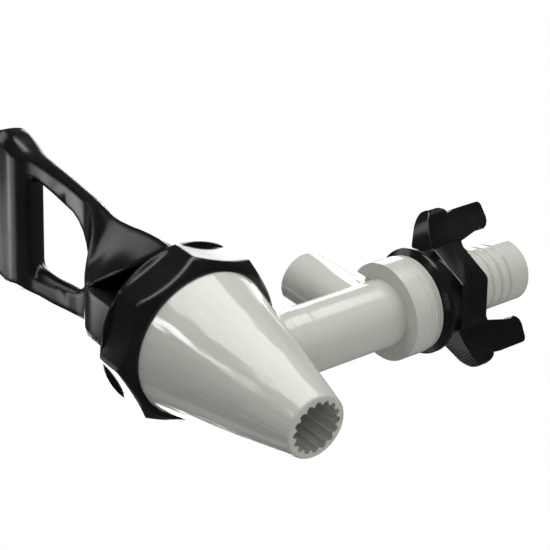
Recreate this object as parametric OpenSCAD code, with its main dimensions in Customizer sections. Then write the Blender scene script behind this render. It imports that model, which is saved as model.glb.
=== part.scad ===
// Self-closing beverage dispenser spigot with a loop lever, a sight gauge port and a wing nut.
// Upright as in use: +Z up, +Y back through the dispenser wall, +X to the right.
// The origin is on the shank axis, in the wall seat plane at the back of the shank washer.

/* [Spout] */
// Distance from the wall seat forward to the spout axis
spout_reach = 53.9; // [50:0.1:60]
// Distance from the shank axis down to the spout tip
tip_drop = 30.4; // [27:0.1:36]
// Distance from the shank axis up to the shoulder that the bonnet sits on
bonnet_seat = 10.9; // [10.5:0.1:13]
// Outer diameter of the cone at the shoulder
cone_top_d = 36.6; // [36:0.1:38]
// Outer diameter of the spout tip
tip_d = 15.6; // [15:0.1:17]
// Radius of the rounded lip at the spout tip
tip_lip_r = 0.7; // [0.3:0.1:0.8]
// Wall thickness of the cone
cone_wall = 2.4; // [1.8:0.1:3]
// Diameter of the outlet between the flutes
outlet_d = 11.2; // [10:0.1:11.6]
// Number of flutes round the outlet
flute_count = 16; // [8:1:20]
// Radius of one flute
flute_r = 0.8; // [0.4:0.1:0.9]
// Distance from the shank axis down to the valve seat
seat_drop = 8; // [7:0.1:9]
// Height of the raised valve seat above the chamber floor
seat_lip_h = 1.6; // [0.8:0.1:2.4]
// Outer diameter of the raised valve seat
seat_lip_d = 14.4; // [13.6:0.1:15]

/* [Neck and bonnet] */
// Outer diameter of the neck inside the bonnet
neck_d = 33.6; // [33:0.1:34.4]
// Height of the neck above the shoulder
neck_h = 6.5; // [6:0.1:8]
// Wall thickness of the neck
neck_wall = 2.3; // [1.8:0.1:3]
// Width of the bonnet across its eight flats
bonnet_af = 40.6; // [39.8:0.1:42]
// Diameter of the round rim on top of the bonnet
bonnet_rim_d = 42.6; // [42:0.1:44]
// Thickness of the round rim on top of the bonnet
bonnet_rim_h = 0.8; // [0.5:0.1:1.5]
// Diameter of the bonnet's lower face, inside its chamfer
bonnet_lip_d = 38.6; // [38:0.1:39.4]
// Height of the chamfer at a corner of the bonnet
bonnet_chamfer_h = 2.9; // [2:0.1:4]
// Thickness of the bonnet's top plate
bonnet_top_t = 3.1; // [2.5:0.1:4]
// Turn of the bonnet's flats about the spout axis
bonnet_turn = 17.5; // [0:0.5:45]

/* [Shank] */
// Outer diameter of the tube between the cone and the collar
tube_d = 16.7; // [16.2:0.1:18]
// Outer diameter of the shank that passes through the wall
shank_d = 15.9; // [15.4:0.1:16]
// Length of the shank behind the wall seat
shank_len = 34; // [33:0.5:40]
// Bore of the shank
shank_bore_d = 10.4; // [9:0.1:11]
// Bevel at the free end of the shank
shank_bevel = 0.8; // [0.3:0.1:1.2]
// Length of the plain end behind the thread
plain_end = 7; // [6.5:0.1:9]
// Pitch of the coarse thread
thread_pitch = 3; // [2.5:0.1:4]
// Depth of the thread
thread_depth = 0.55; // [0.3:0.05:0.7]
// Outer diameter of the collar
collar_d = 24.6; // [23.6:0.1:26]
// Length of the collar
collar_len = 6.8; // [6:0.1:9]
// Width of the slot across the top of the collar
collar_slot_w = 12.8; // [12:0.1:13.4]
// Thickness of the full ring that is left behind the slot
collar_ring = 2.4; // [1.6:0.1:3]
// Width of the shank washer's ring, from its bore to its rim
washer_w = 3.95; // [3:0.05:4.5]
// Thickness of the shank washer
washer_t = 1.9; // [1.5:0.1:3]

/* [Gauge port] */
// Distance from the wall seat forward to the gauge port axis
gauge_reach = 14.4; // [14:0.1:16]
// Height of the gauge port above the shank axis
gauge_rise = 23.6; // [20:0.1:28]
// Outer diameter of the gauge port
gauge_d = 14.3; // [13.6:0.1:15]
// Bore of the gauge port
gauge_bore_d = 10.6; // [9:0.1:11.4]
// Depth of the wide bore in the gauge port
gauge_bore_depth = 13; // [8:0.1:14]
// Diameter of the passage from the gauge port into the shank
gauge_passage_d = 5; // [3:0.1:6]

/* [Wing nut] */
// Diameter of the round flange at the front of the nut
flange_d = 26.8; // [26:0.1:29]
// Distance from the front face to the widest part of the flange
flange_flare = 1.5; // [1:0.1:2]
// Thickness of the widest part of the flange
flange_t = 1.1; // [0.8:0.1:1.6]
// Width across the flats of the nut's hub
hub_af = 20.9; // [20.2:0.1:22]
// Distance from the wall seat back to the front of the hub's flats
hub_front = 7.6; // [6:0.1:9]
// Length of the hub's flats
hub_len = 8.5; // [7:0.1:10]
// Distance from the nut axis to the tip of a wing
wing_span = 20.6; // [19:0.1:23]
// Distance from the back of the hub to the back of the wings
wing_back = 14.9; // [14:0.1:17]
// Thickness of the thin rear part of a wing
wing_t = 3.2; // [2.4:0.1:4]
// Thickness of the thick front part of a wing at its root
wing_root_t = 8.6; // [7:0.1:9.5]
// Thickness of the thick front part of a wing at its tip
wing_tip_t = 5.6; // [4:0.1:6]
// Turn of the wings about the shank, from the +X side upward
wing_turn = 36; // [0:1:60]

/* [Lever handle] */
// Height of the pivot pin above the shank axis
pin_rise = 29; // [28:0.1:31]
// Diameter of the pivot pin
pin_d = 3.2; // [2.6:0.1:3.6]
// Distance that each end of the pivot pin lies under the cheek's side
pin_inset = 0.3; // [0.1:0.1:0.8]
// Width over the two cheeks that hold the pivot pin
cheek_w = 10.8; // [10:0.1:11.6]
// Height of the handle's top above the shank axis
handle_top = 104.5; // [100:0.5:112]
// Width of the grip bar
grip_w = 45.8; // [44:0.2:52]
// Height of the grip bar
grip_h = 19.2; // [18:0.2:21]
// Distance from the spout axis forward to the front of the grip plate
grip_front = 5.6; // [5:0.1:7]
// Distance from the spout axis back to the rear of the grip bar
grip_back = 2.2; // [2:0.1:4]
// Width of the flat front plate of the grip
plate_w = 40.4; // [36:0.2:42]
// Width across the outside of the arms, halfway up the finger opening
arm_w = 37.6; // [36:0.2:40]
// Distance from the spout axis forward to the front of the arms
arm_front = 2; // [1.6:0.1:2.6]
// Distance from the spout axis back to the rear of the arms
arm_back = 1.5; // [1.2:0.1:2.4]
// Width of the finger opening at its top
finger_w = 25.2; // [22:0.2:26]
// Height of the finger opening
finger_h = 26.4; // [24:0.2:28]
// Radius that rounds the arms round the finger opening
finger_round = 1.9; // [1:0.1:2]
// Width of the lever's waist
waist_w = 35.4; // [34:0.2:38]
// Height of the waist above the shank axis
waist_rise = 46; // [44:0.5:50]
// Width of the lever's base
base_w = 40; // [38:0.5:41.5]
// Distance from the spout axis forward to the nose of the lever
nose_reach = 14.7; // [13.8:0.1:15.5]
// Height of the nose's top edge above the shank axis
nose_rise = 39.2; // [37:0.1:41]
// Width of the nose
nose_w = 13; // [12:0.1:15]
// Thickness of the nose's front plate
nose_plate = 2.7; // [2:0.1:3.2]
// Width of the rolling heel at the rear of the base
heel_w = 22; // [18:0.5:24]
// Distance from the spout axis back to the heel of the base
heel_reach = 10; // [8:0.1:12]
// Distance from the spout axis back to the rear wall of the hollows in the base
hollow_back = 2.4; // [2:0.1:3]
// Largest angle that the lever tips forward
tilt_max = 45; // [30:1:50]
// Rise of the stem over the whole tilt
stem_lift = 4.4; // [3:0.1:4.8]

/* [Stem, cup and spring] */
// Diameter of the stem
stem_d = 8.4; // [7.6:0.1:8.8]
// Thickness of the flat tang at the top of the stem
tang_t = 5.4; // [4:0.1:6]
// Diameter of the disc at the foot of the stem
stem_foot_d = 13; // [12.6:0.1:13.4]
// Thickness of the disc at the foot of the stem
stem_foot_t = 2; // [1.5:0.1:2.5]
// Diameter of the button that holds the seat cup on the stem
button_d = 6; // [5:0.1:7]
// Outer diameter of the seat cup at its foot
cup_foot_d = 17; // [16.8:0.1:17.6]
// Outer diameter of the seat cup under its rim
cup_top_d = 26; // [24:0.1:27]
// Thickness of the seat cup's wall
cup_wall = 1.4; // [1:0.1:1.6]
// Thickness of the seat cup's foot
cup_foot_t = 4.2; // [4:0.1:5]
// Thickness of the seat cup's clamped rim
cup_rim_t = 1.5; // [1:0.1:2]
// Wire diameter of the return spring
wire_d = 1; // [0.8:0.1:1.2]
// Mean diameter of the return spring
spring_d = 11; // [10.6:0.1:11.4]
// Number of turns of the return spring
spring_turns = 6; // [5:1:8]

/* [Clearances] */
// Radial clearance of turning and sliding fits
running_gap = 0.05; // [0.03:0.01:0.1]
// Gap between the handle and the bonnet and between the nut and the washer
rest_gap = 0.15; // [0.1:0.01:0.3]
// Gap round the stem's tang in the lever's slot
slot_gap = 0.25; // [0.15:0.05:0.5]
// Radial gap between the shank and its washer
washer_gap = 0.1; // [0.05:0.01:0.3]

/* [Hidden] */
smooth = 96;
fine = 48;
eps = 0.01;

cone_top_r = cone_top_d / 2;
tip_r = tip_d / 2;
neck_r = neck_d / 2;
shank_r = shank_d / 2;
tube_r = tube_d / 2;
stem_r = stem_d / 2;
neck_top = bonnet_seat + neck_h;
cup_rim_top = neck_top + cup_rim_t;
bonnet_top = cup_rim_top + bonnet_top_t;
collar_front = -washer_t - collar_len;
chamber_floor = -seat_drop - seat_lip_h;
cone_slope = (cone_top_r - tip_r) / (bonnet_seat + tip_drop);
cup_foot = -seat_drop;
button_top = cup_foot + cup_foot_t;
button_h = cup_foot_t - 1.6;
foot_top = button_top + stem_foot_t;
pivot_h = pin_rise - bonnet_top - rest_gap;
lift_per_rad = stem_lift / (tilt_max * PI / 180);
nut_back = hub_front + hub_len;
pin_len = cheek_w - 2 * pin_inset;
washer_bore_r = shank_r + washer_gap;
lever_foot = bonnet_top + rest_gap;
grip_low = handle_top - grip_h;
finger_low = grip_low - finger_h;
wing_end = nut_back + wing_back;

// Outer radius of the cone at a height
function cone_r(z) = tip_r + (z + tip_drop) * cone_slope;

// Points on an arc, as [x, y]
function arc_points(centre, radius, from, to, steps) =
    [for (i = [0:steps]) centre + radius * [cos(from + (to - from) * i / steps),
                                            sin(from + (to - from) * i / steps)]];

// A closed outline from its right half, listed from one end to the other
function both_sides(half) = concat(half, [for (i = [len(half) - 1:-1:0]) [-half[i][0], half[i][1]]]);

// Point of the rolling heel for one tilt angle, as [forward, up] from the pin.
// The heel's height under the pin grows evenly with the angle, so the stem rises evenly.
function heel_point(a) =
    let (h = pivot_h + lift_per_rad * a * PI / 180)
    [h * sin(a) + lift_per_rad * cos(a), -h * cos(a) + lift_per_rad * sin(a)];

// Children drawn with their Z axis on the spout axis
module at_spout() {
    translate([0, -spout_reach, 0]) children();
}

// Children drawn with their Z axis along the shank axis, pointing back
module along_shank() {
    rotate([-90, 0, 0]) children();
}

// A plain bar of round section along X, centred on the pin
module pin_bar(d, len) {
    translate([0, -spout_reach, pin_rise]) rotate([0, 90, 0]) cylinder(d = d, h = len, center = true, $fn = fine);
}

// The cone, its rounded tip and the neck inside the bonnet
module spout_outside() {
    rotate_extrude($fn = smooth) polygon(concat(
        [[0, -tip_drop]],
        arc_points([tip_r - tip_lip_r, -tip_drop + tip_lip_r], tip_lip_r, -90, 0, 4),
        [[cone_top_r, bonnet_seat], [neck_r, bonnet_seat], [neck_r, neck_top], [0, neck_top]]));
}

// The valve chamber above the seat, with a raised lip round the outlet
module chamber() {
    seat_r = outlet_d / 2 + flute_r;
    rotate_extrude($fn = smooth) polygon([
        [seat_lip_d / 2, chamber_floor],
        [cone_r(chamber_floor) - cone_wall, chamber_floor],
        [neck_r - neck_wall, bonnet_seat],
        [neck_r - neck_wall, neck_top + eps],
        [0, neck_top + eps],
        [0, -seat_drop],
        [seat_r, -seat_drop],
        [seat_lip_d / 2, -seat_drop]]);
}

// The fluted outlet from the seat down to the tip
module outlet() {
    depth = tip_drop - seat_drop + 2;
    translate([0, 0, -tip_drop - 1]) linear_extrude(depth) union() {
        circle(d = outlet_d, $fn = smooth);
        for (i = [0:flute_count - 1])
            rotate(i * 360 / flute_count) translate([outlet_d / 2, 0]) circle(r = flute_r, $fn = 16);
    }
}

// The shank's outside with the tube and the collar, from the spout axis to its free end
module shank_outside() {
    along_shank() {
        translate([0, 0, -spout_reach]) cylinder(r = tube_r, h = spout_reach - washer_t, $fn = smooth);
        translate([0, 0, collar_front]) cylinder(d = collar_d, h = collar_len, $fn = smooth);
        translate([0, 0, -washer_t - eps]) cylinder(r = shank_r, h = shank_len - shank_bevel + washer_t, $fn = smooth);
        translate([0, 0, shank_len - shank_bevel - eps])
            cylinder(r1 = shank_r, r2 = shank_r - shank_bevel, h = shank_bevel + eps, $fn = smooth);
    }
}

// One V-shaped groove round the shank
module thread_groove() {
    rotate_extrude($fn = smooth) polygon([
        [shank_r - thread_depth, 0],
        [shank_r + eps, -thread_depth],
        [shank_r + 1, -thread_depth],
        [shank_r + 1, thread_depth],
        [shank_r + eps, thread_depth]]);
}

// The slot across the collar's top, in front of its full rear ring
module collar_slot() {
    slot_len = collar_len - collar_ring;
    difference() {
        translate([-collar_slot_w / 2, collar_front - 1, 0]) cube([collar_slot_w, slot_len + 1, collar_d]);
        along_shank() translate([0, 0, collar_front - 2]) cylinder(r = tube_r, h = collar_len + 2, $fn = smooth);
    }
}

// One moulded piece: spout, neck, tube, collar, gauge port and threaded shank
module body() {
    thread_end = shank_len - plain_end;
    groove_count = floor((thread_end - thread_pitch) / thread_pitch);
    color("#c8cabe") difference() {
        union() {
            at_spout() spout_outside();
            difference() {
                shank_outside();
                collar_slot();
            }
            translate([0, -gauge_reach, 0]) cylinder(d = gauge_d, h = gauge_rise, $fn = smooth);
        }
        at_spout() chamber();
        at_spout() outlet();
        along_shank() translate([0, 0, -spout_reach]) cylinder(d = shank_bore_d, h = spout_reach + shank_len + 1, $fn = fine);
        translate([0, -gauge_reach, gauge_rise - gauge_bore_depth])
            cylinder(d = gauge_bore_d, h = gauge_bore_depth + 1, $fn = fine);
        translate([0, -gauge_reach, 0]) cylinder(d = gauge_passage_d, h = gauge_rise, $fn = fine);
        along_shank() for (i = [0:groove_count]) translate([0, 0, thread_end - i * thread_pitch]) thread_groove();
    }
}

// The eight-sided bonnet: a chamfered prism under a round rim, hollow for the neck
module bonnet() {
    corner_r = bonnet_af / 2 / cos(22.5);
    height = bonnet_top - bonnet_seat;
    color("#17171a") at_spout() difference() {
        union() {
            intersection() {
                translate([0, 0, bonnet_seat]) rotate(bonnet_turn + 22.5) cylinder(r = corner_r, h = height - eps, $fn = 8);
                rotate_extrude($fn = smooth) polygon([
                    [0, bonnet_seat],
                    [bonnet_lip_d / 2, bonnet_seat],
                    [corner_r, bonnet_seat + bonnet_chamfer_h],
                    [corner_r, bonnet_top - bonnet_rim_h],
                    [bonnet_rim_d / 2, bonnet_top],
                    [0, bonnet_top]]);
            }
            translate([0, 0, bonnet_top - bonnet_rim_h]) cylinder(d = bonnet_rim_d, h = bonnet_rim_h, $fn = smooth);
        }
        translate([0, 0, bonnet_seat - 1]) cylinder(r = neck_r + running_gap, h = cup_rim_top - bonnet_seat + 1, $fn = smooth);
        translate([0, 0, bonnet_seat]) cylinder(r = stem_r + running_gap, h = height + 1, $fn = fine);
    }
}

// Silicone cup: its rim is clamped by the bonnet and its foot closes the seat
module seat_cup() {
    foot_r = cup_foot_d / 2;
    top_r = cup_top_d / 2;
    rim_r = neck_r - washer_gap;
    floor_z = button_top;
    color("#b9bcb8") at_spout() difference() {
        rotate_extrude($fn = smooth) polygon([
            [0, cup_foot],
            [foot_r - 1.2, cup_foot],
            [foot_r, cup_foot + 1.2],
            [foot_r, floor_z],
            [top_r, neck_top - 1.5],
            [top_r, neck_top],
            [rim_r, neck_top],
            [rim_r, cup_rim_top],
            [top_r - cup_wall, cup_rim_top],
            [top_r - cup_wall, neck_top - 1.5],
            [foot_r - cup_wall, floor_z + stem_foot_t],
            [foot_r - cup_wall, floor_z],
            [0, floor_z]]);
        translate([0, 0, button_top - button_h]) cylinder(r = button_d / 2 + running_gap, h = button_h + 1, $fn = fine);
    }
}

// Coil spring between the stem's foot and the bonnet, as one swept wire
module return_spring() {
    sides = 8;
    steps = 16;
    rings = spring_turns * steps;
    low = foot_top + wire_d / 2 + eps;
    high = cup_rim_top - wire_d / 2 - eps;
    points = [for (i = [0:rings]) for (k = [0:sides - 1])
        let (a = i * 360 / steps, b = k * 360 / sides, r = spring_d / 2 + wire_d / 2 * cos(b))
        [r * cos(a), r * sin(a), low + (high - low) * i / rings + wire_d / 2 * sin(b)]];
    faces = concat(
        [[for (k = [0:sides - 1]) k]],
        [for (i = [0:rings - 1]) for (k = [0:sides - 1])
            [i * sides + k, (i + 1) * sides + k, (i + 1) * sides + (k + 1) % sides, i * sides + (k + 1) % sides]],
        [[for (k = [0:sides - 1]) rings * sides + sides - 1 - k]]);
    color("#b4b6b8") at_spout() polyhedron(points, faces, convexity = 10);
}

// Valve stem: button, foot disc, rod and a flat tang with a round end and the cross hole
module stem() {
    tang_low = bonnet_top - stem_lift - 1;
    color("#d9d9d4") difference() {
        at_spout() {
            translate([0, 0, button_top - button_h]) cylinder(d = button_d, h = button_h + eps, $fn = fine);
            translate([0, 0, button_top]) cylinder(d = stem_foot_d, h = stem_foot_t, $fn = smooth);
            translate([0, 0, button_top]) cylinder(r = stem_r, h = tang_low - button_top, $fn = fine);
            intersection() {
                translate([0, 0, tang_low - 1]) cylinder(r = stem_r, h = pin_rise + stem_r, $fn = fine);
                union() {
                    translate([-tang_t / 2, -stem_r, tang_low - 1]) cube([tang_t, stem_d, pin_rise - tang_low + 1]);
                    translate([-tang_t / 2, 0, pin_rise]) rotate([0, 90, 0]) cylinder(r = stem_r, h = tang_t, $fn = fine);
                }
            }
        }
        pin_bar(pin_d + 2 * running_gap, stem_d + 2);
    }
}

// Steel pin through the lever's cheeks and the stem's head
module pivot_pin() {
    color("#c4c6c8") pin_bar(pin_d, pin_len);
}

// A solid skinned over rings of equally many points, each ring anticlockwise as seen from the last one
module loft(rings) {
    n = len(rings[0]);
    last = len(rings) - 1;
    sides = [for (i = [0:last - 1]) for (k = [0:n - 1]) let (a = i * n + k, b = i * n + (k + 1) % n)
        each [[a, a + n, b], [b, a + n, b + n]]];
    caps = [[for (k = [0:n - 1]) k], [for (k = [n - 1:-1:0]) last * n + k]];
    polyhedron([for (ring = rings) each ring], concat(sides, caps), convexity = 10);
}

// Points on a curve that leaves a towards b and ends at c, from a given step on
function bow(a, b, c, steps, first = 0) =
    [for (i = [first:steps]) let (u = i / steps) (1 - u) * (1 - u) * a + 2 * u * (1 - u) * b + u * u * c];

// Value between b and c on a smooth curve through a, b, c and d
function between(a, b, c, d, u) =
    0.5 * (2 * b + (c - a) * u + (2 * a - 5 * b + 4 * c - d) * u * u + (3 * b - a - 3 * c + d) * u * u * u);

// Level sections of the lever from just under its foot to the grip plate, as [height, half-width of the front face, its y,
// half-width at the side, y there, half-width of the rear face, its y]
function lever_rows() =
    let (base_r = base_w / 2, waist_r = waist_w / 2, arm_r = arm_w / 2, nose_r = nose_w / 2,
        heel_r = heel_w / 2, rise = finger_low - nose_rise)
    [
        [lever_foot - 1, nose_r + 0.3, -nose_reach, base_r, -1.6, heel_r, heel_reach],
        [lever_foot + 7, nose_r + 0.3, -nose_reach, base_r - 0.1, -1.2, heel_r + 0.4, heel_reach - 1.2],
        [nose_rise - 3, nose_r + 0.3, -nose_reach, waist_r + 1.2, -1, heel_r + 0.9, heel_reach - 3.6],
        [nose_rise, nose_r + 0.1, -nose_reach + 0.3, waist_r + 0.6, -1, heel_r + 1.2, heel_reach - 4.8],
        [nose_rise + 0.14 * rise, nose_r, -nose_reach + 1.5, waist_r + 0.2, -1, heel_r + 1.5, heel_reach - 5.6],
        [waist_rise, nose_r + 0.2, -nose_reach + 4.2, waist_r - 0.3, -1, waist_r - 4.7, arm_back + 2],
        [nose_rise + 0.5 * rise, nose_r + 1.9, -nose_reach + 6.7, waist_r - 0.4, -0.9, waist_r - 4.1, arm_back + 1.4],
        [nose_rise + 0.65 * rise, waist_r - 5.4, -arm_front - 2.8, waist_r - 0.1, -0.7, waist_r - 3.6, arm_back + 0.9],
        [nose_rise + 0.86 * rise, waist_r - 1.9, -arm_front - 0.6, waist_r, -0.2, waist_r - 2.3, arm_back + 0.5],
        [finger_low + 2, arm_r - 1.7, -arm_front + 0.2, arm_r - 1.1, -0.2, arm_r - 2.2, arm_back + 0.2],
        [finger_low + 0.35 * finger_h, arm_r - 0.7, -arm_front, arm_r - 0.3, -0.6, arm_r - 1.1, arm_back],
        [finger_low + 0.6 * finger_h, arm_r, -arm_front - 0.7, arm_r + 0.5, -1.4, arm_r - 0.5, arm_back],
        [finger_low + 0.83 * finger_h, arm_r + 0.4, -arm_front - 1.2, arm_r + 0.9, -1.8, arm_r, arm_back + 0.1],
        [grip_low, arm_r + 0.7, -arm_front - 2, arm_r + 1.4, -2.2, arm_r + 0.2, arm_back + 0.3]
    ];

// Level sections of the grip bar, whose ends are round in front view and whose top edges are rounded
function grip_rows() =
    let (end_r = grip_h / 2, mid = handle_top - end_r, round_r = 2.4)
    [for (a = [-32, 0, 32, 60, 90])
        let (z = mid + end_r * sin(a), out = grip_w / 2 - end_r + end_r * cos(a),
            over = max(0, z - handle_top + round_r), inset = round_r - sqrt(max(0, round_r * round_r - over * over)))
        [z, out - (grip_w - plate_w) / 2, -grip_front + inset, out, -grip_front + 2.1, out - 1.2, grip_back - inset]];

// One level section of the lever as a ring of points: front face, hollow flank, side and rear corner
function lever_ring(row) =
    let (z = row[0], front = [row[1], row[2]], side = [row[3], row[4]], rear = [row[5], row[6]],
        flank_bend = [front[0] + 0.4 * (side[0] - front[0]), front[1] + 0.62 * (side[1] - front[1])],
        full = max(0.55, min(1, 1.5 / (side[0] - rear[0]))),
        rear_bend = [rear[0] + full * (side[0] - rear[0]), side[1] + full * (rear[1] - side[1])])
    [for (p = both_sides(concat(bow(front, flank_bend, side, 4), bow(side, rear_bend, rear, 3, 1)))) [p[0], p[1], z]];

// The lever's outer form without its openings
module lever_form() {
    rows = concat(lever_rows(), grip_rows());
    last = len(rows) - 1;
    steps = 2;
    fair = [for (i = [0:last - 1]) for (j = [0:steps - 1])
        between(rows[max(i - 1, 0)], rows[i], rows[i + 1], rows[min(i + 2, last)], j / steps)];
    loft([for (row = concat(fair, [rows[last]])) lever_ring(row)]);
}

// Outline of the finger opening, widened by e, in the plane at a given y
function finger_ring(y, e) =
    let (half = finger_w / 2, corner = 3, top = grip_low + 0.4 * (y + arm_front), round_z = finger_low + 9)
    [for (p = both_sides(concat(
        [for (a = [-80:17:-12]) [(half - 1.4 + e) * cos(a), round_z + (9 + e) * sin(a)]],
        [[half - 0.5 + e, finger_low + 0.6 * finger_h]],
        arc_points([half + e - corner, top - corner], corner, 0, 80, 3)))) [p[0], y, p[1]]];

// The finger opening, narrowest halfway through the arms and rounded towards both faces
module finger_opening() {
    mid = (arm_back - arm_front - 0.6) / 2;
    curve = [for (a = [90:-30:-90]) [mid + finger_round * sin(a), finger_round * (1 - cos(a))]];
    loft(concat(
        [finger_ring(2 * grip_front, finger_round + 3)],
        [for (c = curve) finger_ring(c[0], c[1])],
        [finger_ring(-2 * grip_front, finger_round + 3)]));
}

// Everything under the rolling heel, in side view as [y from the spout axis, z]
module under_heel() {
    heel = [for (i = [0:6]) let (p = heel_point(tilt_max * i / 6)) [-p[0], pin_rise + p[1]]];
    front = nose_reach + 1;
    front_z = heel[6][1] + (front + heel[6][0]) * tan(tilt_max);
    polygon(concat(heel, [[-front, front_z], [-front, bonnet_top - 2], [base_w / 2, bonnet_top - 2], [base_w / 2, heel[0][1]]]));
}

// Room for the stem's tang in the lever over the whole tilt, in side view from the pin
module tang_slot() {
    q = stem_r + slot_gap;
    reach = 3 * pivot_h;
    ahead = [-cos(tilt_max), sin(tilt_max)] * q;
    down = [-sin(tilt_max), -cos(tilt_max)] * reach;
    circle(q, $fn = fine);
    polygon([[q, 0], [q, -reach], ahead + down, ahead]);
}

// Hollow under one flank of the base, between the cheek and the side, open below and in front beside the nose
module base_hollow() {
    cheek_r = cheek_w / 2;
    side_r = base_w / 2 - 0.5;
    slope = (nose_rise - lever_foot - 1.7) / (side_r - nose_w / 2);
    difference() {
        translate([0, hollow_back, 0]) rotate([90, 0, 0]) linear_extrude(hollow_back + nose_reach + 1) polygon([
            [cheek_r, bonnet_top - 2],
            [side_r, bonnet_top - 2],
            [side_r, lever_foot + 1],
            [cheek_r, lever_foot + 1 + slope * (side_r - cheek_r)]]);
        translate([0, -nose_reach - 2, 0]) cube([nose_w / 2, nose_plate + 2, nose_rise + 2]);
    }
}

// Loop lever in one moulded piece: grip, arms, flared base, nose, cheeks and rolling heel
module handle() {
    color("#141416") difference() {
        at_spout() difference() {
            lever_form();
            finger_opening();
            rotate([90, 0, 90]) linear_extrude(base_w + 2, center = true) under_heel();
            for (side = [0, 1]) mirror([side, 0, 0]) base_hollow();
            translate([0, 0, pin_rise]) rotate([90, 0, 90])
                linear_extrude(tang_t + 2 * slot_gap, center = true) tang_slot();
        }
        pin_bar(pin_d, nose_w + 1);
    }
}

// Grey washer between the collar and the dispenser wall
module shank_washer() {
    color("#a9aba3") along_shank() difference() {
        translate([0, 0, -washer_t]) cylinder(r = washer_bore_r + washer_w, h = washer_t, $fn = smooth);
        translate([0, 0, -washer_t - 1]) cylinder(r = washer_bore_r, h = washer_t + 2, $fn = smooth);
    }
}

// One wing, drawn with the nut axis up and the wing along +Y
module wing() {
    root = shank_r + 1;
    tip_r = wing_tip_t / 2;
    lobe_back = nut_back + 2.2;
    front_round = 1.6;
    back_round = 2.4;
    end_round = 1.4;
    paddle_in = 1.8;
    intersection() {
        rotate([90, 0, 90]) linear_extrude(wing_root_t, center = true) polygon(concat(
            [[root, hub_front + 0.4], [wing_span * 0.66, hub_front + 1.8], [wing_span * 0.86, hub_front + 3.7]],
            arc_points([wing_span - front_round, hub_front + 6.6], front_round, -40, 0, 3),
            arc_points([wing_span - back_round, lobe_back - back_round], back_round, 0, 90, 5),
            [[root, lobe_back]]));
        linear_extrude(2 * nut_back) polygon(both_sides(concat(
            [[wing_root_t / 2, 0], [wing_root_t / 2, hub_af / 2]],
            arc_points([0, wing_span - tip_r], tip_r, 12, 90, 6))));
    }
    rotate([90, 0, 90]) linear_extrude(wing_t, center = true) polygon(concat(
        [[root, hub_front + 3], [root + 0.6, nut_back + 1], [root + 3.2, wing_end - 3.4]],
        arc_points([root + 5.4, wing_end - 2 * end_round], 2 * end_round, 160, 90, 3),
        arc_points([wing_span - paddle_in - end_round, wing_end - 0.3 - end_round], end_round, 80, 0, 4),
        [[wing_span - paddle_in, nut_back + 5.2], [wing_span - paddle_in - 1, nut_back + 1]]));
}

// Wing nut: flange, hollow-sided neck, six-sided hub and two wings that reach back
module wing_nut() {
    hub_corner = hub_af / 2 / cos(30);
    flange_r = flange_d / 2;
    flange_h = flange_flare + flange_t;
    neck_foot_r = hub_af / 2 + 1.4;
    neck_h = hub_front - flange_h;
    color("#131315") along_shank() rotate(-wing_turn) difference() {
        union() {
            rotate_extrude($fn = smooth) polygon(concat(
                [[0, rest_gap], [flange_r - 2.4, rest_gap], [flange_r, flange_flare], [flange_r, flange_h]],
                [[neck_foot_r, flange_h + 0.5], [neck_foot_r - 0.3, flange_h + 1.1]],
                [for (u = [0.25:0.25:1]) [neck_foot_r - 0.3 - 1.2 * sin(90 * u), flange_h + 1.1 + (neck_h - 0.9) * u]],
                [[0, hub_front + 0.2]]));
            intersection() {
                translate([0, 0, hub_front]) rotate(30) cylinder(r = hub_corner, h = hub_len, $fn = 6);
                translate([0, 0, hub_front]) cylinder(r1 = hub_corner + 0.4, r2 = hub_corner - 0.3, h = hub_len, $fn = smooth);
            }
            for (i = [0, 1]) rotate(180 * i - 90) wing();
        }
        translate([0, 0, -1]) cylinder(r = shank_r + running_gap, h = wing_end, $fn = smooth);
    }
}

body();
bonnet();
seat_cup();
return_spring();
stem();
handle();
pivot_pin();
shank_washer();
wing_nut();
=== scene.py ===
"""Studio dress-up of a self-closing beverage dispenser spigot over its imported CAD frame.

Every length is in metres in the CAD frame: +Z is up, +Y runs back through the dispenser
wall, +X is to the right, and the origin lies on the shank axis in the wall seat plane.
"""

from __future__ import annotations

import logging
import math
from collections.abc import Sequence
from dataclasses import dataclass, field
from enum import Enum

import bpy
from mathutils import Matrix, Vector

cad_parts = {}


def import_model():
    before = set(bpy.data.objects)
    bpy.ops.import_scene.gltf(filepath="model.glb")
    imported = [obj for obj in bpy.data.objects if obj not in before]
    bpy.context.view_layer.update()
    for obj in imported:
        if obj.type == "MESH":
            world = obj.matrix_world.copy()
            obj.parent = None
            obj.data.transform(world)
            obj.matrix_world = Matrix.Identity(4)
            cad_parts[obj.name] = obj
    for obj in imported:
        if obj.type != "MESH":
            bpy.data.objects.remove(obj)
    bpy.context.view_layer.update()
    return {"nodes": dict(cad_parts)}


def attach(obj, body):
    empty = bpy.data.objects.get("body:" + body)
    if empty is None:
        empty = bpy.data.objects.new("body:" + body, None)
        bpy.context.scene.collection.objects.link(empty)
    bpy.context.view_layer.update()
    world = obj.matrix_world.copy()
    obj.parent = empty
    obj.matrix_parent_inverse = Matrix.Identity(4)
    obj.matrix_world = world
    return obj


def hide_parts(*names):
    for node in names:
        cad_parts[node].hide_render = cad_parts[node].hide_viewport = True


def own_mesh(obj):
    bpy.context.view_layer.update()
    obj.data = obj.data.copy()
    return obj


LOG = logging.getLogger("spigot")
MM = 0.001

Colour = tuple[float, float, float]
Point = tuple[float, float, float]


class Slot(Enum):
    """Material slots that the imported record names."""

    GREY = "grey_plastic"
    BLACK = "black_plastic"
    SILICONE = "silicone"
    STEM = "stem_plastic"
    STEEL = "spring_steel"
    WASHER = "washer_rubber"


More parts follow.
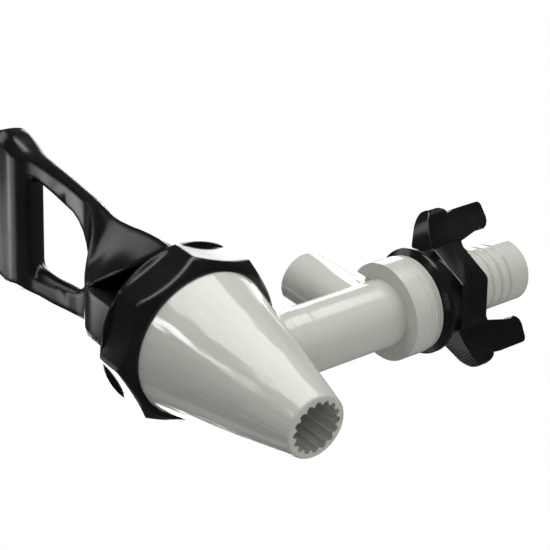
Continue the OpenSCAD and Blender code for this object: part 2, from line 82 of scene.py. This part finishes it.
class Graph:
    """A node tree with short calls to add, link and read nodes."""

    def __init__(self, tree: bpy.types.NodeTree) -> None:
        """Keep the tree and clear it.

        Args:
            tree: The node tree of a material, a world or a group.
        """
        self.tree = tree
        tree.nodes.clear()

    def add(self, kind: str, **settings: object) -> bpy.types.Node:
        """Add a node and set its properties.

        Args:
            kind: The node's type name without its ShaderNode prefix, or a full type name.
            settings: Properties of the node by name.

        Returns:
            The new node.
        """
        full = kind if kind.startswith("Node") else f"ShaderNode{kind}"
        node = self.tree.nodes.new(full)
        for name, value in settings.items():
            setattr(node, name, value)
        return node

    def feed(self, node: bpy.types.Node, **inputs: object) -> bpy.types.Node:
        """Link or set a node's inputs, named with underscores for spaces.

        Args:
            node: The node whose inputs are fed.
            inputs: A socket to link, or a value to set, by input name. A name such as
                input_1 picks the input by its place.

        Returns:
            The same node.
        """
        for name, value in inputs.items():
            if name.startswith("input_"):
                socket = node.inputs[int(name[6:])]
            else:
                socket = node.inputs[name.replace("_", " ")]
            if isinstance(value, bpy.types.NodeSocket):
                self.tree.links.new(value, socket)
            else:
                socket.default_value = value
        return node

    def math(self, operation: str, a: object, b: object = 0.0, c: object = 0.0) -> bpy.types.NodeSocket:
        """Add a math node.

        Args:
            operation: The node's operation.
            a: First value or socket.
            b: Second value or socket.
            c: Third value or socket.

        Returns:
            The node's output socket.
        """
        node = self.add("Math", operation=operation)
        self.feed(node, input_0=a, input_1=b, input_2=c)
        return node.outputs[0]

    def ramp(self, value: object, low: float, high: float, from_value: float, to_value: float) -> bpy.types.NodeSocket:
        """Map a value smoothly from one range to another.

        Args:
            value: The socket to map.
            low: Value at which the output is from_value.
            high: Value at which the output is to_value.
            from_value: Output at and below low.
            to_value: Output at and above high.

        Returns:
            The mapped output socket.
        """
        node = self.add("MapRange", interpolation_type="SMOOTHSTEP")
        self.feed(node, Value=value, From_Min=low, From_Max=high, To_Min=from_value, To_Max=to_value)
        return node.outputs["Result"]

    def noise(self, vector: object, scale: float, detail: float = 2.0, rough: float = 0.5) -> bpy.types.NodeSocket:
        """Add a noise texture.

        Args:
            vector: Coordinates that feed the noise.
            scale: Noise cells per metre.
            detail: Octaves of detail.
            rough: Weight of the finer octaves.

        Returns:
            The noise value socket.
        """
        node = self.add("TexNoise")
        self.feed(node, Vector=vector, Scale=scale, Detail=detail, Roughness=rough)
        return node.outputs["Fac"]


class GroupBuilder:
    """Builds a shader node group with named inputs and outputs."""

    def __init__(self, name: str, inputs: Sequence[tuple[str, float]], outputs: Sequence[tuple[str, str]]) -> None:
        """Make the group's interface.

        Args:
            name: The group's name.
            inputs: Name and default of each value input.
            outputs: Name and socket type of each output.
        """
        self.tree = bpy.data.node_groups.new(name, "ShaderNodeTree")
        self.graph = Graph(self.tree)
        for label, default in inputs:
            socket = self.tree.interface.new_socket(label, in_out="INPUT", socket_type="NodeSocketFloat")
            socket.default_value = default
        for label, kind in outputs:
            self.tree.interface.new_socket(label, in_out="OUTPUT", socket_type=kind)
        self.source = self.graph.add("NodeGroupInput")
        self.sink = self.graph.add("NodeGroupOutput")

    def value(self, name: str) -> bpy.types.NodeSocket:
        """Return one of the group's input sockets."""
        return self.source.outputs[name]

    def result(self, name: str, socket: bpy.types.NodeSocket) -> None:
        """Send a socket to one of the group's outputs."""
        self.tree.links.new(socket, self.sink.inputs[name])


class SharedEffects:
    """Shader groups that more than one finish uses."""

    def __init__(self) -> None:
        """Build each group once."""
        self.skin = self._moulded_skin()
        self.wear = self._handling_wear()

    @staticmethod
    def _moulded_skin() -> bpy.types.NodeTree:
        """Build the gentle waves, the drawn-out flow marks and the fine peel of a moulded surface.

        Returns:
            A group with a Height output, from about 0 to 1.
        """
        builder = GroupBuilder(
            "moulded_skin",
            [("Wave Scale", 60.0), ("Peel Scale", 900.0), ("Peel Share", 0.2), ("Flow Scale", 400.0), ("Flow Share", 0.0)],
            [("Height", "NodeSocketFloat")],
        )
        graph = builder.graph
        place = graph.add("TexCoord").outputs["Object"]
        wave = graph.add("TexNoise")
        graph.feed(wave, Vector=place, Scale=builder.value("Wave Scale"), Detail=1.0, Roughness=0.4)
        peel = graph.add("TexNoise")
        graph.feed(peel, Vector=place, Scale=builder.value("Peel Scale"), Detail=2.0, Roughness=0.5)
        drawn = graph.add("Mapping")
        graph.feed(drawn, Vector=place, Scale=(1.0, 1.0, 0.1))
        flow = graph.add("TexNoise")
        graph.feed(flow, Vector=drawn.outputs[0], Scale=builder.value("Flow Scale"), Detail=1.0, Roughness=0.3)
        parts = graph.add("SeparateXYZ")
        graph.feed(parts, Vector=place)
        ahead = graph.ramp(parts.outputs["Y"], -36.0 * MM, -30.0 * MM, 1.0, 0.0)
        share = graph.math("MULTIPLY", builder.value("Flow Share"), ahead)
        fine = graph.math("MULTIPLY", peel.outputs["Fac"], builder.value("Peel Share"))
        coarse = graph.math("MULTIPLY_ADD", flow.outputs["Fac"], share, wave.outputs["Fac"])
        builder.result("Height", graph.math("ADD", coarse, fine))
        return builder.tree

    @staticmethod
    def _handling_wear() -> bpy.types.NodeTree:
        """Build the patches of fine scuffs and handling haze.

        Returns:
            A group with a Mask output for patches and a Scratch output for fine lines.
        """
        builder = GroupBuilder(
            "handling_wear",
            [("Patch Scale", 45.0), ("Line Scale", 320.0), ("Amount", 0.5)],
            [("Mask", "NodeSocketFloat"), ("Scratch", "NodeSocketFloat")],
        )
        graph = builder.graph
        place = graph.add("TexCoord").outputs["Object"]
        patch = graph.add("TexNoise")
        graph.feed(patch, Vector=place, Scale=builder.value("Patch Scale"), Detail=4.0, Roughness=0.6)
        mask = graph.ramp(patch.outputs["Fac"], 0.45, 0.75, 0.0, 1.0)
        stretch = graph.add("Mapping")
        graph.feed(stretch, Vector=place, Rotation=(0.4, 0.9, 0.3), Scale=(1.0, 0.06, 1.0))
        lines = graph.add("TexNoise")
        graph.feed(lines, Vector=stretch.outputs[0], Scale=builder.value("Line Scale"), Detail=1.0, Roughness=0.5)
        scratch = graph.ramp(lines.outputs["Fac"], 0.66, 0.72, 0.0, 1.0)
        builder.result("Mask", graph.math("MULTIPLY", mask, builder.value("Amount")))
        builder.result("Scratch", graph.math("MULTIPLY", scratch, graph.math("MULTIPLY", mask, builder.value("Amount"))))
        return builder.tree


@dataclass(frozen=True)
class Finish:
    """One moulded, rubber or metal finish."""

    name: str
    slot: Slot
    colour: Colour
    worn_colour: Colour
    roughness: float
    worn_roughness: float
    metallic: float = 0.0
    ior: float = 1.5
    edge_radius: float = 0.25 * MM
    skin_depth: float = 0.02 * MM
    wave_scale: float = 60.0
    peel_scale: float = 900.0
    peel_share: float = 0.2
    flow_share: float = 0.0
    wear: float = 0.4
    subsurface: float = 0.0
    parting_line: bool = False
    ripples: bool = False
    rings: float = 0.0

    def material(self, effects: SharedEffects) -> bpy.types.Material:
        """Build the finish's material.

        Args:
            effects: The shader groups that finishes share.

        Returns:
            The new material.
        """
        made = bpy.data.materials.new(self.name)
        made.use_nodes = True
        graph = Graph(made.node_tree)
        skin = graph.add("Group", node_tree=effects.skin)
        graph.feed(skin, Wave_Scale=self.wave_scale, Peel_Scale=self.peel_scale)
        graph.feed(skin, Peel_Share=self.peel_share, Flow_Share=self.flow_share)
        wear = graph.add("Group", node_tree=effects.wear)
        graph.feed(wear, Amount=self.wear)
        mask = wear.outputs["Mask"]
        colour = graph.add("Mix", data_type="RGBA")
        graph.feed(colour, input_0=mask, input_6=(*self.colour, 1.0), input_7=(*self.worn_colour, 1.0))
        rough = graph.ramp(mask, 0.0, 1.0, self.roughness, self.worn_roughness)
        height = graph.math("MULTIPLY_ADD", wear.outputs["Scratch"], -0.35, skin.outputs["Height"])
        if self.parting_line:
            height = graph.math("ADD", height, self._parting_height(graph))
        if self.rings:
            height = graph.math("MULTIPLY_ADD", self._ring_height(graph), self.rings, height)
        if self.ripples:
            height = graph.math("ADD", height, self._ripple_height(graph))
        rounded = graph.add("Bevel", samples=12)
        rounded.inputs["Radius"].default_value = self.edge_radius
        bump = graph.add("Bump")
        graph.feed(bump, Height=height, Normal=rounded.outputs["Normal"], Distance=self.skin_depth, Strength=1.0)
        shader = graph.add("BsdfPrincipled")
        graph.feed(
            shader,
            Base_Color=colour.outputs[2],
            Roughness=rough,
            Metallic=self.metallic,
            IOR=self.ior,
            Normal=bump.outputs["Normal"],
            Subsurface_Weight=self.subsurface,
            Subsurface_Scale=0.6 * MM,
        )
        out = graph.add("OutputMaterial")
        graph.feed(out, Surface=shader.outputs[0])
        return made

    @staticmethod
    def _parting_height(graph: Graph) -> bpy.types.NodeSocket:
        """Build the thin raised line where the mould's halves met, in the plane X = 0.

        Args:
            graph: The material's node graph.

        Returns:
            The line's height, in the same units as the skin's height.
        """
        place = graph.add("TexCoord").outputs["Object"]
        parts = graph.add("SeparateXYZ")
        graph.feed(parts, Vector=place)
        aside = graph.math("ABSOLUTE", parts.outputs["X"])
        on_cone = graph.ramp(parts.outputs["Y"], -36.0 * MM, -34.0 * MM, 1.2, 0.0)
        return graph.math("MULTIPLY", graph.ramp(aside, 0.05 * MM, 0.16 * MM, 1.0, 0.0), on_cone)

    @staticmethod
    def _ring_height(graph: Graph) -> bpy.types.NodeSocket:
        """Build the fine rings round the back of the collar and the washer's rim.

        Args:
            graph: The material's node graph.

        Returns:
            The rings' height, from -1 in a groove to 0 between grooves.
        """
        parts = graph.add("SeparateXYZ")
        graph.feed(parts, Vector=graph.add("TexCoord").outputs["Object"])
        along = parts.outputs["Y"]
        swing = graph.math("SINE", graph.math("MULTIPLY", along, 2.0 * math.pi / (1.0 * MM)))
        groove = graph.ramp(swing, 0.5, 0.95, 0.0, -1.0)
        behind = graph.ramp(along, -3.9 * MM, -3.8 * MM, 0.0, 1.0)
        before = graph.ramp(along, -0.4 * MM, -0.3 * MM, 1.0, 0.0)
        return graph.math("MULTIPLY", groove, graph.math("MULTIPLY", behind, before))

    @staticmethod
    def _ripple_height(graph: Graph) -> bpy.types.NodeSocket:
        """Build the fine cooling ripples that the moulded nut shows on its left wing.

        Args:
            graph: The material's node graph.

        Returns:
            The ripples' height, in the same units as the skin's height.
        """
        place = graph.add("TexCoord").outputs["Object"]
        parts = graph.add("SeparateXYZ")
        graph.feed(parts, Vector=place)
        rings = graph.add("TexWave", wave_type="RINGS", rings_direction="SPHERICAL")
        centred = graph.add("Mapping")
        graph.feed(centred, Vector=place, Location=(8.0 * MM, -6.0 * MM, 4.0 * MM))
        graph.feed(rings, Vector=centred.outputs[0], Scale=380.0, Distortion=2.5, Detail=1.0, Detail_Scale=0.4)
        left = graph.ramp(parts.outputs["X"], -14.0 * MM, -8.0 * MM, 0.9, 0.0)
        return graph.math("MULTIPLY", rings.outputs["Fac"], left)


@dataclass
class Finishes:
    """All finishes of the spigot, each built once."""

    effects: SharedEffects
    made: dict[str, bpy.types.Material] = field(default_factory=dict)
    slots: dict[str, Slot] = field(default_factory=dict)

    def build(self) -> None:
        """Build every material."""
        table = [
            Finish(
                "grey_moulding",
                Slot.GREY,
                colour=(0.47, 0.48, 0.43),
                worn_colour=(0.44, 0.45, 0.40),
                roughness=0.15,
                worn_roughness=0.23,
                edge_radius=0.35 * MM,
                skin_depth=0.09 * MM,
                wave_scale=55.0,
                peel_share=0.012,
                flow_share=2.3,
                wear=0.35,
                parting_line=True,
                rings=1.3,
            ),
            Finish(
                "black_moulding",
                Slot.BLACK,
                colour=(0.004, 0.004, 0.0043),
                worn_colour=(0.012, 0.012, 0.012),
                roughness=0.13,
                worn_roughness=0.22,
                edge_radius=1.8 * MM,
                skin_depth=0.06 * MM,
                wave_scale=70.0,
                peel_share=0.01,
                wear=0.5,
            ),
            Finish(
                "black_lever_moulding",
                Slot.BLACK,
                colour=(0.004, 0.004, 0.0043),
                worn_colour=(0.012, 0.012, 0.012),
                roughness=0.17,
                worn_roughness=0.26,
                edge_radius=2.2 * MM,
                skin_depth=0.06 * MM,
                wave_scale=70.0,
                peel_share=0.01,
                wear=0.5,
            ),
            Finish(
                "black_nut_moulding",
                Slot.BLACK,
                colour=(0.004, 0.004, 0.0043),
                worn_colour=(0.014, 0.014, 0.014),
                roughness=0.16,
                worn_roughness=0.3,
                edge_radius=0.6 * MM,
                skin_depth=0.07 * MM,
                wave_scale=140.0,
                peel_share=0.02,
                wear=0.8,
                ripples=True,
            ),
            Finish(
                "silicone_cup",
                Slot.SILICONE,
                colour=(0.52, 0.54, 0.53),
                worn_colour=(0.46, 0.48, 0.46),
                roughness=0.5,
                worn_roughness=0.6,
                subsurface=0.25,
            ),
            Finish(
                "white_acetal",
                Slot.STEM,
                colour=(0.68, 0.68, 0.65),
                worn_colour=(0.6, 0.6, 0.56),
                roughness=0.35,
                worn_roughness=0.45,
                subsurface=0.1,
            ),
            Finish(
                "drawn_steel",
                Slot.STEEL,
                colour=(0.55, 0.55, 0.56),
                worn_colour=(0.4, 0.4, 0.4),
                roughness=0.25,
                worn_roughness=0.4,
                metallic=1.0,
                edge_radius=0.1 * MM,
            ),
            Finish(
                "grey_gasket",
                Slot.WASHER,
                colour=(0.38, 0.385, 0.34),
                worn_colour=(0.33, 0.335, 0.3),
                roughness=0.55,
                worn_roughness=0.65,
                skin_depth=0.03 * MM,
                peel_scale=2500.0,
                peel_share=0.6,
                rings=4.0,
            ),
        ]
        for finish in table:
            self.made[finish.name] = finish.material(self.effects)
            self.slots[finish.name] = finish.slot

    def dress(self, piece: bpy.types.Object, name: str) -> None:
        """Give a piece one of the finishes.

        Args:
            piece: The object to dress.
            name: The finish's name.
        """
        piece.data.materials.clear()
        piece.data.materials.append(self.made[name])


@dataclass
class CarriedNodes:
    """CAD nodes that show as they are, with softened shading and a finish each."""

    smooth_angle: float = math.radians(32)
    weld: float = 0.002 * MM
    finish_names: dict[str, str] = field(
        default_factory=lambda: {
            "body": "grey_moulding",
            "bonnet": "black_moulding",
            "seat_cup": "silicone_cup",
            "stem": "white_acetal",
            "handle": "black_lever_moulding",
            "pivot_pin": "drawn_steel",
            "shank_washer": "grey_gasket",
            "wing_nut": "black_nut_moulding",
        }
    )

    def build(self, nodes: dict[str, bpy.types.Object], finishes: Finishes) -> None:
        """Dress every node.

        Args:
            nodes: The CAD nodes by name.
            finishes: The finishes to dress them in.
        """
        for name, finish_name in self.finish_names.items():
            node = nodes[name]
            self.shade(node)
            finishes.dress(node, finish_name)
            LOG.info("carried node %s in %s", name, finish_name)

    def shade(self, node: bpy.types.Object) -> None:
        """Weld the piece's facets and shade them smoothly up to the crease angle."""
        mesh = node.data
        if "custom_normal" in mesh.attributes:
            mesh.attributes.remove(mesh.attributes["custom_normal"])
        mesh.polygons.foreach_set("use_smooth", [True] * len(mesh.polygons))
        weld = node.modifiers.new("weld", "WELD")
        weld.merge_threshold = self.weld
        split = node.modifiers.new("creases", "EDGE_SPLIT")
        split.split_angle = self.smooth_angle
        split.use_edge_sharp = False


@dataclass
class ReturnSpring:
    """The coil spring round the stem, at its rest length; the real spring shortens towards the bonnet as the stem
    lifts.
    """

    node: str = "return_spring"
    carrier: str = "valve_body"
    joint: str = "stem_lift"
    lift: float = 4.4 * MM

    def build(self, solid: bpy.types.Object, carried: CarriedNodes, finishes: Finishes) -> None:
        """Put a coil of the solid's own form in its place, carried by the valve body.

        Args:
            solid: The CAD node of the spring.
            carried: The shading that the CAD nodes get.
            finishes: The finishes to dress it in.
        """
        coil = bpy.data.objects.new("spring_coil", solid.data.copy())
        bpy.context.scene.collection.objects.link(coil)
        carried.shade(coil)
        finishes.dress(coil, "drawn_steel")
        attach(coil, self.carrier)
        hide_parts(self.node)
        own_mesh(coil)
        LOG.info("spring coil in drawn_steel")


@dataclass(frozen=True)
class SoftBox:
    """A rectangular area lamp that faces the object.

    Bearing is measured from +X towards +Y, lengths are in metres and power in watts.
    """

    name: str
    bearing: float
    height: float
    distance: float
    width: float
    depth: float
    power: float
    mirrored: bool = True
    lit: bool = True

    def hang(self, target: Vector) -> bpy.types.Object:
        """Add the lamp to the scene.

        Args:
            target: The point that the lamp faces.

        Returns:
            The lamp.
        """
        bearing, height = math.radians(self.bearing), math.radians(self.height)
        level = math.cos(height)
        toward = Vector((level * math.cos(bearing), level * math.sin(bearing), math.sin(height)))
        data = bpy.data.lights.new(self.name, "AREA")
        data.shape = "RECTANGLE"
        data.size = self.width
        data.size_y = self.depth
        data.energy = self.power
        lamp = bpy.data.objects.new(self.name, data)
        bpy.context.scene.collection.objects.link(lamp)
        lamp.location = target + toward * self.distance
        lamp.rotation_mode = "QUATERNION"
        lamp.rotation_quaternion = (-toward).to_track_quat("-Z", "Y")
        lamp.visible_glossy = self.mirrored
        lamp.visible_diffuse = self.lit
        return lamp


@dataclass
class Studio:
    """Camera at the photograph's viewing angle, soft lamps, pale floor and white surround."""

    eye: Point = (188.89 * MM, -243.19 * MM, -244.86 * MM)
    image_right: Point = (0.053, 0.7908, -0.6098)
    image_down: Point = (-0.8805, -0.251, -0.4021)
    forward: Point = (-0.471, 0.5582, 0.683)
    focal_pixels: float = 1600.0
    picture_pixels: float = 550.0
    sensor: float = 36.0
    floor_height: float = -0.32
    floor_span: float = 6.0
    floor_whiteness: float = 0.7
    surround: float = 0.12
    mirrored_surround: float = 0.07
    lamp_target: Point = (0.0, -0.03, 0.02)
    lamps: tuple[SoftBox, ...] = (
        SoftBox("key_box", 4.0, 12.0, 0.8, 1.1, 0.5, 8.0),
        SoftBox("rear_box", 135.0, 22.0, 0.9, 0.8, 0.6, 8.0, mirrored=False),
        SoftBox("fill_box", 14.0, -45.0, 1.1, 0.9, 0.9, 2.1, mirrored=False),
        SoftBox("left_box", -170.0, 20.0, 0.9, 0.7, 0.6, 1.0, mirrored=False),
        SoftBox("back_box", 86.0, 45.0, 0.75, 0.4, 0.36, 1.85, lit=False),
        SoftBox("far_box", 166.0, 44.0, 0.75, 0.34, 0.34, 1.45, lit=False),
        SoftBox("flank_box", -66.0, 64.0, 0.8, 0.3, 0.34, 0.42),
        SoftBox("plate_box", -129.5, 50.5, 0.8, 0.13, 0.1, 0.11),
        SoftBox("arm_box", -120.0, 42.0, 0.8, 0.2, 0.2, 0.16),
        SoftBox("wing_box", -157.0, 18.0, 0.8, 0.3, 0.25, 0.16),
        SoftBox("streak_box", -58.5, 14.5, 0.8, 0.12, 0.08, 0.55),
    )

    def build(self) -> None:
        """Build the camera, the lamps, the floor and the world."""
        self._camera()
        self._world()
        self._floor()
        self._lamps()
        bpy.context.scene.view_settings.view_transform = "Standard"

    def _camera(self) -> None:
        """Place the camera where the photograph was taken from."""
        data = bpy.data.cameras.new("photo_camera")
        data.sensor_width = self.sensor
        data.lens = self.focal_pixels / self.picture_pixels * self.sensor
        data.clip_start = 0.01
        data.clip_end = 20.0
        camera = bpy.data.objects.new("photo_camera", data)
        bpy.context.scene.collection.objects.link(camera)
        right, up, back = Vector(self.image_right), -Vector(self.image_down), -Vector(self.forward)
        turn = Matrix((right, up, back)).transposed().to_quaternion()
        camera.rotation_mode = "QUATERNION"
        camera.rotation_quaternion = turn
        camera.location = self.eye
        bpy.context.scene.camera = camera

    def _world(self) -> None:
        """Light softly from all round, and show white wherever the surround is seen."""
        world = bpy.data.worlds.new("studio_surround")
        bpy.context.scene.world = world
        world.use_nodes = True
        graph = Graph(world.node_tree)
        path = graph.add("LightPath")
        strength = graph.ramp(path.outputs["Is Glossy Ray"], 0.0, 1.0, self.surround, self.mirrored_surround)
        soft = graph.add("Background")
        graph.feed(soft, Color=(0.93, 0.96, 1.0, 1.0), Strength=strength)
        white = graph.add("Background")
        graph.feed(white, Color=(1.0, 1.0, 1.0, 1.0), Strength=1.0)
        mix = graph.add("MixShader")
        graph.feed(mix, input_0=path.outputs["Is Camera Ray"], input_1=soft.outputs[0], input_2=white.outputs[0])
        out = graph.add("OutputWorld")
        graph.feed(out, Surface=mix.outputs[0])

    def _floor(self) -> None:
        """Lay a plain pale floor below the object, which looks pale and keeps the shadow."""
        half = self.floor_span / 2
        corners = [(-half, -half, 0.0), (half, -half, 0.0), (half, half, 0.0), (-half, half, 0.0)]
        mesh = bpy.data.meshes.new("studio_floor")
        mesh.from_pydata([(x, y, self.floor_height) for x, y, _ in corners], [], [(0, 1, 2, 3)])
        floor = bpy.data.objects.new("studio_floor", mesh)
        bpy.context.scene.collection.objects.link(floor)
        made = bpy.data.materials.new("pale_floor")
        made.use_nodes = True
        graph = Graph(made.node_tree)
        shader = graph.add("BsdfPrincipled")
        graph.feed(shader, Base_Color=(0.86, 0.86, 0.86, 1.0), Roughness=0.7)
        glow = graph.add("Emission")
        graph.feed(glow, Color=(1.0, 1.0, 1.0, 1.0), Strength=1.0)
        path = graph.add("LightPath")
        share = graph.math("MULTIPLY", path.outputs["Is Camera Ray"], self.floor_whiteness)
        mix = graph.add("MixShader")
        graph.feed(mix, input_0=share, input_1=shader.outputs[0], input_2=glow.outputs[0])
        out = graph.add("OutputMaterial")
        graph.feed(out, Surface=mix.outputs[0])
        floor.data.materials.append(made)
        floor.visible_glossy = False

    def _lamps(self) -> None:
        """Hang every soft box of the studio round the object."""
        target = Vector(self.lamp_target)
        for lamp in self.lamps:
            lamp.hang(target)


def main() -> None:
    """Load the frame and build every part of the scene."""
    logging.basicConfig(level=logging.INFO, format="%(name)s: %(message)s")
    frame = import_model()
    finishes = Finishes(SharedEffects())
    finishes.build()
    carried = CarriedNodes()
    carried.build(frame["nodes"], finishes)
    ReturnSpring().build(frame["nodes"]["return_spring"], carried, finishes)
    Studio().build()
    bpy.context.view_layer.update()


if __name__ == "__main__":
    main()
